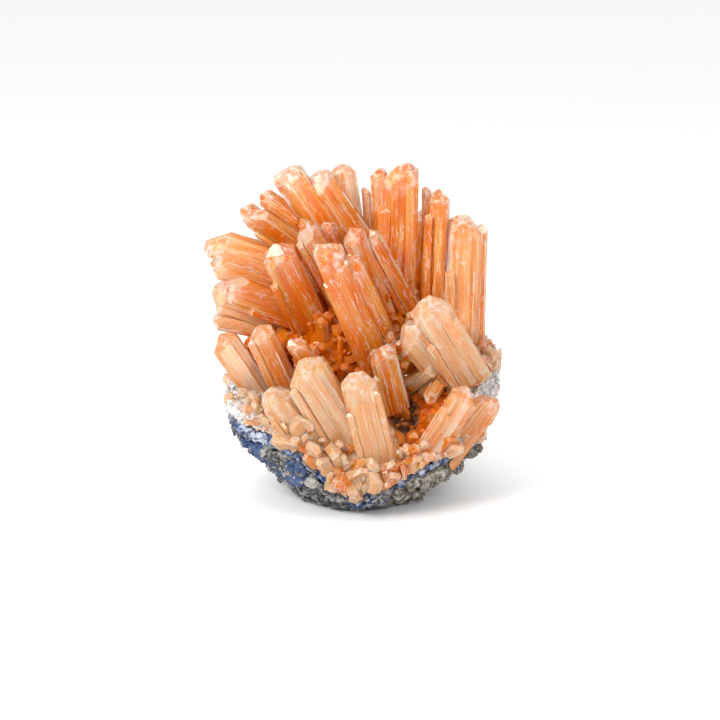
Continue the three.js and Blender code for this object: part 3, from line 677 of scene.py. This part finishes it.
def facets(point, size, tilt, groove):
    """The relief of broken stone: tilted facets, one to each cell of this size, with grooves between them."""
    scaled = Vector(point) / size
    distances, corners = noise.voronoi(scaled)
    heart = corners[0]
    aside = noise.noise(heart * 5.3 + Vector((9, 0, 0)))
    way = Vector((noise.noise(heart * 7.1), aside, noise.noise(heart * 6.7)))
    border = min(1.0, (distances[1] - distances[0]) / 0.25)
    return size * (tilt * 2.2 * way.dot(scaled - heart) + 0.5 * tilt * way.x) - groove * (1 - border) ** 2


def domes(point, size, height):
    """The relief of a botryoidal crust: rounded knobs side by side."""
    distances, _ = noise.voronoi(Vector(point) / size)
    return height * (0.6 - min(1.0, distances[0] * 1.4) ** 2)


def rough_piece(node, voxel, relief, material, slot):
    """An even, rough mesh that takes the place of a CAD node."""
    mesh, points, normals = remeshed(node, voxel)
    push = np.clip([relief(point) for point in points], DEEPEST, PROUDEST)
    firm = np.clip(points[:, 2] / FOOT_FADE, 0, 1)
    points = points + normals * (push * firm)[:, None]
    mesh.vertices.foreach_set("co", points.ravel())
    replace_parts(settle(mesh, node + "_fine", material, slot), node)


def spots_on(node, count, rng, wanted, gap=0.0):
    """Random places on a CAD node, with the way out there, where wanted says so and at least a gap apart."""
    solid = welded_copy(node)
    mesh = solid.data
    mesh.calc_loop_triangles()
    corners = np.array([[mesh.vertices[i].co[:] for i in tri.vertices] for tri in mesh.loop_triangles])
    ways = np.array([tri.normal[:] for tri in mesh.loop_triangles])
    discard([solid])
    area = np.linalg.norm(np.cross(corners[:, 1] - corners[:, 0], corners[:, 2] - corners[:, 0]), axis=1)
    spots = []
    for _ in range(count * 30):
        if len(spots) == count:
            break
        index = rng.choice(len(area), p=area / area.sum())
        u, v = rng.random(2)
        if u + v > 1:
            u, v = 1 - u, 1 - v
        a, b, c = corners[index]
        spot = a + (b - a) * u + (c - a) * v
        near = gap and any(np.abs(spot - other).sum() < gap for other, _ in spots)
        if not near and wanted(spot, ways[index]):
            spots.append((spot, ways[index]))
    return spots


def ground_of(nodes):
    """The surface of some CAD nodes, for rays."""
    points, faces = [], []
    for node in nodes:
        solid = welded_copy(node)
        start = len(points)
        points += [vertex.co.copy() for vertex in solid.data.vertices]
        faces += [[start + i for i in polygon.vertices] for polygon in solid.data.polygons]
        discard([solid])
    return BVHTree.FromPolygons(points, faces)


def ground_at(ground, across, up):
    """Where the ground is first met at a place in the front view, and the way out there."""
    origin = seen(0, 0, 0) + VIEW_DISTANCE * Vector((0, -math.cos(VIEW_TILT), math.sin(VIEW_TILT)))
    spot, way, _, _ = ground.ray_cast(origin, seen(across, up, 0) - origin)
    return spot, way


def joined_piece(name, parts, material, slot):
    """One mesh out of many: each has its points, faces, grain, rise and the tone of each face."""
    vertices, faces, grain, lift, marks = [], [], [], [], []
    start = 0
    for points, own, place, rise, tones in parts:
        vertices.append(points)
        faces.extend(tuple(start + i for i in face) for face in own)
        grain.append(place)
        lift.append(rise)
        marks.extend(tones)
        start += len(points)
    mesh = bpy.data.meshes.new(name)
    mesh.from_pydata(np.concatenate(vertices).tolist(), [], faces)
    marks = np.array(marks)
    store_grain(mesh, "POINT", np.concatenate(grain).astype(np.float32), np.concatenate(lift), marks)
    settle(mesh, name, material, slot)


def shard(spot, way, wide, reach, rng):
    """A striated crystal of a few millimetres that stands on a spot."""
    deep = wide * rng.uniform(0.45, 0.8)
    sunk = 0.3 * reach + 0.5
    draw = stream(int(rng.integers(1, 10 ** 6)))
    cap = ("pyramid", "roof", "slant", "blunt", "plain")[int(rng.integers(0, 5))]
    bm = prism((wide, deep, 0, 0, cap, 6), reach + sunk, draw, rng, 0.7)
    local = np.array([v.co[:] for v in bm.verts])
    faces = [tuple(v.index for v in face.verts) for face in bm.faces]
    tones = [face.material_index for face in bm.faces]
    bm.free()
    axis = Vector(way).normalized()
    side = axis.orthogonal().normalized()
    side.rotate(Matrix.Rotation(6.3 * rng.random(), 3, axis))
    matrix = np.array((side, axis.cross(side), axis))
    points = np.array(spot) + (local - (0, 0, sunk)) @ matrix
    return points, faces, local + (50 * rng.random(), 0, 0), 0.88 * local[:, 2] / (reach + sunk), tones


def druse(name, spots, rng, radius, rise, spread, material, slot, up=0.2):
    """Small six-sided crystals that stand on the given spots, joined in one mesh."""
    parts = []
    turns = np.arange(6) * math.pi / 3
    for spot, way in spots:
        reach = rise[0] + (rise[1] - rise[0]) * rng.random() ** 2
        wide = radius[0] + (radius[1] - radius[0]) * rng.random() ** 1.6
        axis = Vector(way) + Vector(rng.uniform(-spread, spread, 3)) + Vector((0, 0, up))
        axis.normalize()
        side = axis.orthogonal().normalized()
        side.rotate(Matrix.Rotation(6.3 * rng.random(), 3, axis))
        other = axis.cross(side)
        flat = 0.6 + 0.4 * rng.random()
        ring = np.column_stack([np.cos(turns), flat * np.sin(turns)]) * wide * rng.uniform(0.8, 1.15, (6, 1))
        shoulder = reach - wide * rng.uniform(0.5, 1.1, 6)
        summit = rng.uniform(-0.4, 0.4, 2) * wide
        local = [(*point, -1.5) for point in ring]
        local += [(*point * 0.96, level) for point, level in zip(ring, shoulder)]
        local.append((*summit, reach))
        matrix = np.array((side, other, axis))
        faces = [tuple(range(5, -1, -1))]
        for i in range(6):
            j = (i + 1) % 6
            faces.append((i, j, 6 + j, 6 + i))
            faces.append((6 + i, 6 + j, 12))
        local = np.array(local)
        tones = rng.integers(0, GLARE + 1, len(faces))
        rises = [0.3] * 6 + [0.8] * 6 + [1.0]
        parts.append((np.array(spot) + local @ matrix, faces, local + (50 * rng.random(), 0, 0), rises, tones))
    joined_piece(name, parts, material, slot)


HOLLOW_MIDDLE = (19.5, -16.0, 33.0)  # the hollow at the lower right of the front, where the crust is painted a darker orange as shade
HOLLOW_SIZE = (11.0, 18.0, 11.0)


def object_place(tree):
    return add(tree, "ShaderNodeTexCoord").outputs["Object"]


def rock_material():
    material, tree, shader = fresh("rock")
    place = object_place(tree)
    split = add(tree, "ShaderNodeSeparateXYZ")
    tree.links.new(place, split.inputs[0])
    grit = noise_of(tree, place, 800, 5, 0.75)
    patch = noise_of(tree, place, 230, 5, 0.65)
    broad = noise_of(tree, place, 55, 3)
    pointy = add(tree, "ShaderNodeNewGeometry").outputs["Pointiness"]
    right = ramp(tree, split.outputs[0], -0.002, 0.02, -0.3, 0.5)
    beige = math_of(tree, "ADD", right, ramp(tree, broad, 0.4, 0.6, 0, 0.6))
    color = blend(tree, beige, (0.1, 0.105, 0.115), (0.2, 0.16, 0.11))
    color = blend(tree, ramp(tree, patch, 0.52, 0.57, 0, 0.85), color, (0.42, 0.4, 0.36))
    color = blend(tree, ramp(tree, grit, 0.55, 0.62, 0, 0.95), color, (0.6, 0.59, 0.57))
    color = blend(tree, ramp(tree, grit, 0.46, 0.39, 0, 0.95), color, (0.018, 0.018, 0.022))
    # Painted shade: near black where the relief is hollow
    color = blend(tree, ramp(tree, pointy, 0.49, 0.43, 0, 0.85), color, (0.02, 0.02, 0.024))
    blue = noise_of(tree, place, 150, 4, 0.6)
    near = math_of(tree, "ADD", blue, ramp(tree, split.outputs[0], -0.03, 0.02, 0.06, -0.05))
    color = blend(tree, ramp(tree, near, 0.55, 0.59, 0, 0.9), color, (0.035, 0.075, 0.2))
    tree.links.new(color, shader.inputs["Base Color"])
    shader.inputs["Roughness"].default_value = 0.75
    tree.links.new(bump_of(tree, grit, 0.0006, 0.8), shader.inputs["Normal"])
    return material


def blue_material():
    material, tree, shader = fresh("blue_mineral")
    place = object_place(tree)
    grit = noise_of(tree, place, 800, 5, 0.75)
    patch = noise_of(tree, place, 200, 5, 0.65)
    broad = noise_of(tree, place, 90, 3)
    pointy = add(tree, "ShaderNodeNewGeometry").outputs["Pointiness"]
    color = blend(tree, ramp(tree, patch, 0.42, 0.58), (0.012, 0.018, 0.055), (0.05, 0.1, 0.3))
    color = blend(tree, ramp(tree, grit, 0.54, 0.62, 0, 0.8), color, (0.3, 0.42, 0.66))
    color = blend(tree, ramp(tree, broad, 0.5, 0.55, 0, 0.9), color, (0.3, 0.31, 0.33))
    color = blend(tree, ramp(tree, broad, 0.47, 0.41, 0, 0.85), color, (0.56, 0.63, 0.74))
    color = blend(tree, ramp(tree, grit, 0.45, 0.39, 0, 0.9), color, (0.015, 0.018, 0.04))
    # Painted shade: near black where the relief is hollow
    color = blend(tree, ramp(tree, pointy, 0.49, 0.43, 0, 0.8), color, (0.012, 0.014, 0.03))
    tree.links.new(color, shader.inputs["Base Color"])
    tree.links.new(ramp(tree, grit, 0.4, 0.6, 0.35, 0.7), shader.inputs["Roughness"])
    tree.links.new(bump_of(tree, grit, 0.0004, 0.7), shader.inputs["Normal"])
    return material


def inside(tree, place, middle, size):
    """How far a place is inside an ellipsoid: 1 in it and 0 outside, with a soft edge."""
    hollow = add(tree, "ShaderNodeMapping", vector_type="TEXTURE")
    hollow.inputs["Location"].default_value = middle
    hollow.inputs["Scale"].default_value = size
    tree.links.new(place, hollow.inputs["Vector"])
    reach = add(tree, "ShaderNodeVectorMath", operation="LENGTH")
    tree.links.new(hollow.outputs[0], reach.inputs[0])
    return ramp(tree, reach.outputs["Value"], 0.8, 1.15, 1, 0)


def crust_material():
    material, tree, shader = fresh("crust")
    place = object_place(tree)
    split = add(tree, "ShaderNodeSeparateXYZ")
    tree.links.new(place, split.inputs[0])
    grit = noise_of(tree, place, 650, 5, 0.7)
    patch = noise_of(tree, place, 120, 4, 0.6)
    pointy = add(tree, "ShaderNodeNewGeometry").outputs["Pointiness"]
    aside = math_of(tree, "ABSOLUTE", split.outputs[0], 0)
    central = ramp(tree, aside, 0.02, 0.036, 1, 0)
    warm = math_of(tree, "SUBTRACT", central, ramp(tree, patch, 0.4, 0.62, -0.25, 0.3))
    pale = blend(tree, ramp(tree, grit, 0.4, 0.62), (0.4, 0.4, 0.43), (0.72, 0.69, 0.66))
    peach = blend(tree, ramp(tree, patch, 0.42, 0.6), (0.62, 0.2, 0.035), (0.74, 0.42, 0.22))
    color = blend(tree, warm, pale, peach)
    # Painted shade: the crust in the hollow at the lower right is a darker orange, and one spot in it nearly
    # black
    painted_hollow_shade = blend(tree, ramp(tree, patch, 0.4, 0.6), (0.5, 0.1, 0.002), (1.0, 0.26, 0.003))
    # Painted highlight on the crust's ridges and painted shade in its hollows
    color = blend(tree, ramp(tree, pointy, 0.53, 0.6, 0, 0.4), color, (0.9, 0.85, 0.78))
    color = blend(tree, ramp(tree, pointy, 0.49, 0.42, 0, 0.7), color, (0.35, 0.13, 0.04))
    hollow = inside(tree, place, [part * MM for part in HOLLOW_MIDDLE], [part * MM for part in HOLLOW_SIZE])
    color = blend(tree, hollow, color, painted_hollow_shade)
    painted_pit_shade = inside(tree, place, (0.0148, -0.014, 0.0285), (0.0045, 0.012, 0.005))
    color = blend(tree, painted_pit_shade, color, (0.07, 0.02, 0.003))
    tree.links.new(color, shader.inputs["Base Color"])
    tree.links.new(ramp(tree, grit, 0.4, 0.6, 0.2, 0.5), shader.inputs["Roughness"])
    milky(shader)
    tree.links.new(bump_of(tree, grit, 0.0003, 0.5), shader.inputs["Normal"])
    return material


def milk_material():
    """The white, sugary crystals at the sides of the crust."""
    material, tree, shader = fresh("milky_crystal")
    tone = add(tree, "ShaderNodeAttribute", attribute_name="tone").outputs["Fac"]
    grit = noise_of(tree, object_place(tree), 900, 4, 0.7)
    color = blend(tree, tone, (0.42, 0.42, 0.46), (0.84, 0.8, 0.76))
    color = blend(tree, ramp(tree, grit, 0.56, 0.64, 0, 0.6), color, (0.85, 0.62, 0.44))
    tree.links.new(color, shader.inputs["Base Color"])
    shader.inputs["Roughness"].default_value = 0.2
    milky(shader)
    return material


# The crystal materials: deep, middle and light shade, density, what it absorbs and how much of its white shows,
# painted highlights among it
ORANGE = crystal_material(
    "orange_crystal", (0.86, 0.2, 0.004), (0.9, 0.36, 0.025), (0.95, 0.59, 0.19), 50, (1, 0.64, 0.2)
)
PALE = crystal_material(
    "pale_crystal", (0.99, 0.46, 0.18), (1.0, 0.61, 0.33), (1.0, 0.78, 0.56), 20, (1, 0.62, 0.38)
)
PEACH = crystal_material(
    "peach_crystal", (0.9, 0.3, 0.05), (0.93, 0.46, 0.14), (0.97, 0.68, 0.38), 35, (1, 0.64, 0.28)
)
DEEP = crystal_material(
    "orange_bed", (0.98, 0.23, 0.002), (1.0, 0.3, 0.006), (1.0, 0.42, 0.04), 25, (1, 0.66, 0.15), 0.3
)
MILK = milk_material()
PALE_NODES = ("crystal_front_pale", "crystal_front_left", "crystal_right_stub", "crystal_left_clear")
PEACH_NODES = (
    "crystal_right_tall",
    "crystal_left_large",
    "crystal_front_right",
    "crystal_low_left",
    "crystal_low_far_left",
    "crystal_side_left",
    "crystal_top_middle",
    "crystal_left_tip",
    "crystal_right_foot",
    "crystal_back_left",
    "crystal_back_far_right",
)


def shade_of(node):
    if node in PALE_NODES:
        return PALE
    return PEACH if node in PEACH_NODES else ORANGE


seed = 0
for table, place in ((FRONT, lambda p: seen(*p)), (BEHIND, Vector)):
    for name, *specs in table:
        seed += 1
        real = [(place(tip), place(root), *rest) for tip, root, *rest in specs]
        crystal_piece(name, real, seed, shade_of(name))


def rock_relief(point):
    return facets(point, 4.2, 0.45, 0.5) + facets(point, 1.6, 0.5, 0.3)


def blue_relief(point):
    return facets(point, 2.2, 0.4, 0.2)


def crust_relief(point):
    return domes(point, 3.4, 0.9) + facets(point, 1.4, 0.4, 0.15)


def bed_relief(point):
    return facets(point, 3.2, 0.6, 0.3)


rough_piece("matrix_rock", 0.6, rock_relief, rock_material(), "rock")
rough_piece("blue_layer", 0.45, blue_relief, blue_material(), "blue_mineral")
rough_piece("druse_crust", 0.6, crust_relief, crust_material(), "crust")
rough_piece("crystal_bed", 0.6, bed_relief, DEEP, "orange_bed")

# Small crystals crowded together in parts of the front view: the part's left, low, right and high edge, how many
# crystals it gets, the range of their widths and of their lengths, and their sorts in turn
JUMBLES = (
    ((-41, -18, -29, -4), 12, (3.0, 5.5), (2, 4.5), ("pale", "pale", "milk")),
    ((-33, -27, -22, -13), 18, (1.8, 4.0), (2.5, 6), ("pale", "milk", "pale")),
    ((-24, -33, -12, -18), 12, (4.5, 8.5), (4, 9), ("pale",)),
    ((-14, -33, 2, -14), 16, (4.5, 8.5), (3, 7), ("orange", "orange", "pale")),
    ((-15, -38, 4, -27), 14, (4.5, 8.5), (2.5, 6), ("orange", "pale")),
    ((-13, -42, 8, -35), 12, (3.0, 6.0), (2, 4.5), ("pale",)),
    ((2, -10, 14, 5), 18, (2.6, 5.6), (5, 13), ("orange", "pale", "orange")),
    ((12, -7, 32, 7), 22, (3, 6.5), (5, 13), ("pale", "orange")),
    ((26, -9, 40, 3), 16, (3, 6), (4, 8), ("orange", "pale", "pale")),
    ((24, -34, 40, -17), 20, (2.6, 6), (3, 7), ("pale", "pale", "milk")),
    # this part lies in the hollow: its deep orange crystals add to the painted shade there
    ((10, -27, 27, -3), 14, (3.4, 6.5), (2, 7), ("deep",)),
    ((3, -36, 26, -25), 16, (2.4, 5), (2.5, 5), ("pale", "orange")),
)
SCATTERED_COUNT = 380
SCATTER_GAP = 2.6
DRUSE_COUNTS = {"milk": 1500, "pale": 350, "orange": 160, "deep": 90}
BED_COUNT = 320
BED_FOOT = 30  # the small crystals of the bed start at this height
TALLEST_MILK = 3.0
TALLEST_SHARD = 7.0
SPRAY_HEART = np.array((0, 8, 30))  # the scattered crystals lean away from here
SORTS = {
    "deep": (DEEP, "orange_bed"),
    "milk": (MILK, "crust"),
    "orange": (ORANGE, "orange_crystal"),
    "pale": (PALE, "pale_crystal"),
}


def outer(point, way):
    """Whether a place on the crust faces out or up, and not down."""
    return way[2] > -0.45 and (way[2] > 0.2 or way[0] * point[0] + way[1] * (point[1] - 2) > 0)


def in_hollow(point):
    parts = zip(point, HOLLOW_MIDDLE, HOLLOW_SIZE)
    return sum(((part - middle) / size) ** 2 for part, middle, size in parts) < 1


def kind_of(point):
    """Which sort of small crystal grows at a place on the crust."""
    side = abs(point[0] - 1) + 7 * noise.noise(Vector(point) / 6)
    # In the hollow the deep orange sort, which with the crust's painted shade keeps the hollow dark
    if in_hollow(point):
        return "deep"
    if side > 29 or (point[1] > 16 and side > 15):
        return "milk"
    return "orange" if noise.noise(Vector(point) / 7 + Vector((5, 0, 0))) > 0.12 else "pale"


def crowded_shards(rng):
    """The sort and the mesh of each small crystal that the tables place in the front view."""
    ground = ground_of(("druse_crust", "crystal_bed"))
    for (left, low, right, high), count, widths, lengths, sorts in JUMBLES:
        for index in range(count):
            sort = sorts[index % len(sorts)]
            across, up = rng.uniform(left, right), rng.uniform(low, high)
            spot, way = ground_at(ground, across, up)
            wide, reach = rng.uniform(*widths), rng.uniform(*lengths)
            if sort == "milk":
                wide, reach = 0.6 * wide, min(0.6 * reach, TALLEST_MILK)
            lean = Vector(rng.uniform(-0.4, 0.4, 3)) + Vector((0.02 * across, -0.4, 0.9))
            if spot is not None:
                yield sort, shard(spot, 0.4 * way + lean, wide, reach, rng)


def scattered_shards(rng):
    """The sort and the mesh of each small crystal that is scattered over the crust."""
    for spot, way in spots_on("druse_crust", SCATTERED_COUNT, rng, outer, SCATTER_GAP):
        sort = kind_of(spot)
        small = sort in ("milk", "deep")
        wide = rng.uniform(1.2, 2.6) if small else rng.uniform(1.4, 4.4)
        reach = min(TALLEST_SHARD, wide * (rng.uniform(0.5, 1.3) if small else rng.uniform(0.7, 2.6)))
        radial = (spot - SPRAY_HEART) / np.linalg.norm(spot - SPRAY_HEART)
        axis = 0.6 * way + 0.5 * radial + rng.uniform(-0.4, 0.4, 3) + (0, 0, 0.5)
        yield sort, shard(spot, axis, wide, reach, rng)


rng = np.random.default_rng(7)
sorted_parts = {sort: [] for sort in SORTS}
for make in (crowded_shards, scattered_shards):
    for sort, part in make(rng):
        sorted_parts[sort].append(part)
for sort, parts in sorted_parts.items():
    joined_piece("crust_shards_" + sort, parts, *SORTS[sort])
for sort, count in DRUSE_COUNTS.items():
    spots = spots_on("druse_crust", count, rng, lambda point, way: outer(point, way) and kind_of(point) == sort)
    druse("crust_druse_" + sort, spots, rng, (0.3, 0.9), (0.5, 1.8), 0.5, *SORTS[sort])
spots = spots_on("crystal_bed", BED_COUNT, rng, lambda point, way: point[2] > BED_FOOT and way[2] > -0.3)
druse("bed_druse", spots, rng, (0.8, 2.4), (1.0, 7.5), 0.5, DEEP, "orange_bed", 0.4)


FLOOR_REACH = 3
LIT_POINT = (0, 0, 0.05)  # the lamps point at it


def floor_material():
    material, _, shader = fresh("floor")
    shader.inputs["Base Color"].default_value = (0.93, 0.93, 0.93, 1)
    shader.inputs["Roughness"].default_value = 0.8
    return material


floor_mesh = bpy.data.meshes.new("floor")
corners = [(x * FLOOR_REACH, y * FLOOR_REACH, 0) for x, y in ((-1, -1), (1, -1), (1, 1), (-1, 1))]
floor_mesh.from_pydata(corners, [], [(0, 1, 2, 3)])
floor = new_object("floor", floor_mesh)
floor_mesh.materials.append(floor_material())

camera_data = bpy.data.cameras.new("camera")
camera_data.lens = 100
camera_data.sensor_width = 36
camera_data.clip_end = 10
camera = bpy.data.objects.new("camera", camera_data)
bpy.context.scene.collection.objects.link(camera)
toward = Vector((0, -math.cos(VIEW_TILT), math.sin(VIEW_TILT)))
camera.location = (Vector(VIEW_TARGET) + toward * VIEW_DISTANCE) * MM
camera.rotation_euler = (-toward).to_track_quat("-Z", "Y").to_euler()
bpy.context.scene.camera = camera

world = bpy.data.worlds.new("world")
world.use_nodes = True
sky = world.node_tree
split = add(sky, "ShaderNodeSeparateXYZ")
sky.links.new(add(sky, "ShaderNodeTexCoord").outputs["Generated"], split.inputs[0])
behind = ramp(sky, split.outputs[1], -0.3, 0.5, 0.25, 1.0)
overhead = ramp(sky, split.outputs[2], 0.5, 0.9, 0.0, 0.8)
sky.links.new(math_of(sky, "ADD", behind, overhead), sky.nodes["Background"].inputs[1])
sky.nodes["Background"].inputs[0].default_value = (1, 1, 1, 1)
bpy.context.scene.world = world


def area_light(name, place, size, power):
    """A soft square lamp of this size in metres and power in watts."""
    data = bpy.data.lights.new(name, "AREA")
    data.size = size
    data.energy = power
    light = bpy.data.objects.new(name, data)
    bpy.context.scene.collection.objects.link(light)
    light.location = place
    light.rotation_euler = (Vector(LIT_POINT) - Vector(place)).to_track_quat("-Z", "Y").to_euler()


area_light("key", (-0.4, -0.4, 0.45), 0.3, 4.2)
area_light("fill", (0.5, -0.3, 0.3), 0.2, 1)
area_light("low", (0.05, -0.6, 0.35), 0.1, 0.7)
bpy.context.scene.view_settings.view_transform = "Standard"
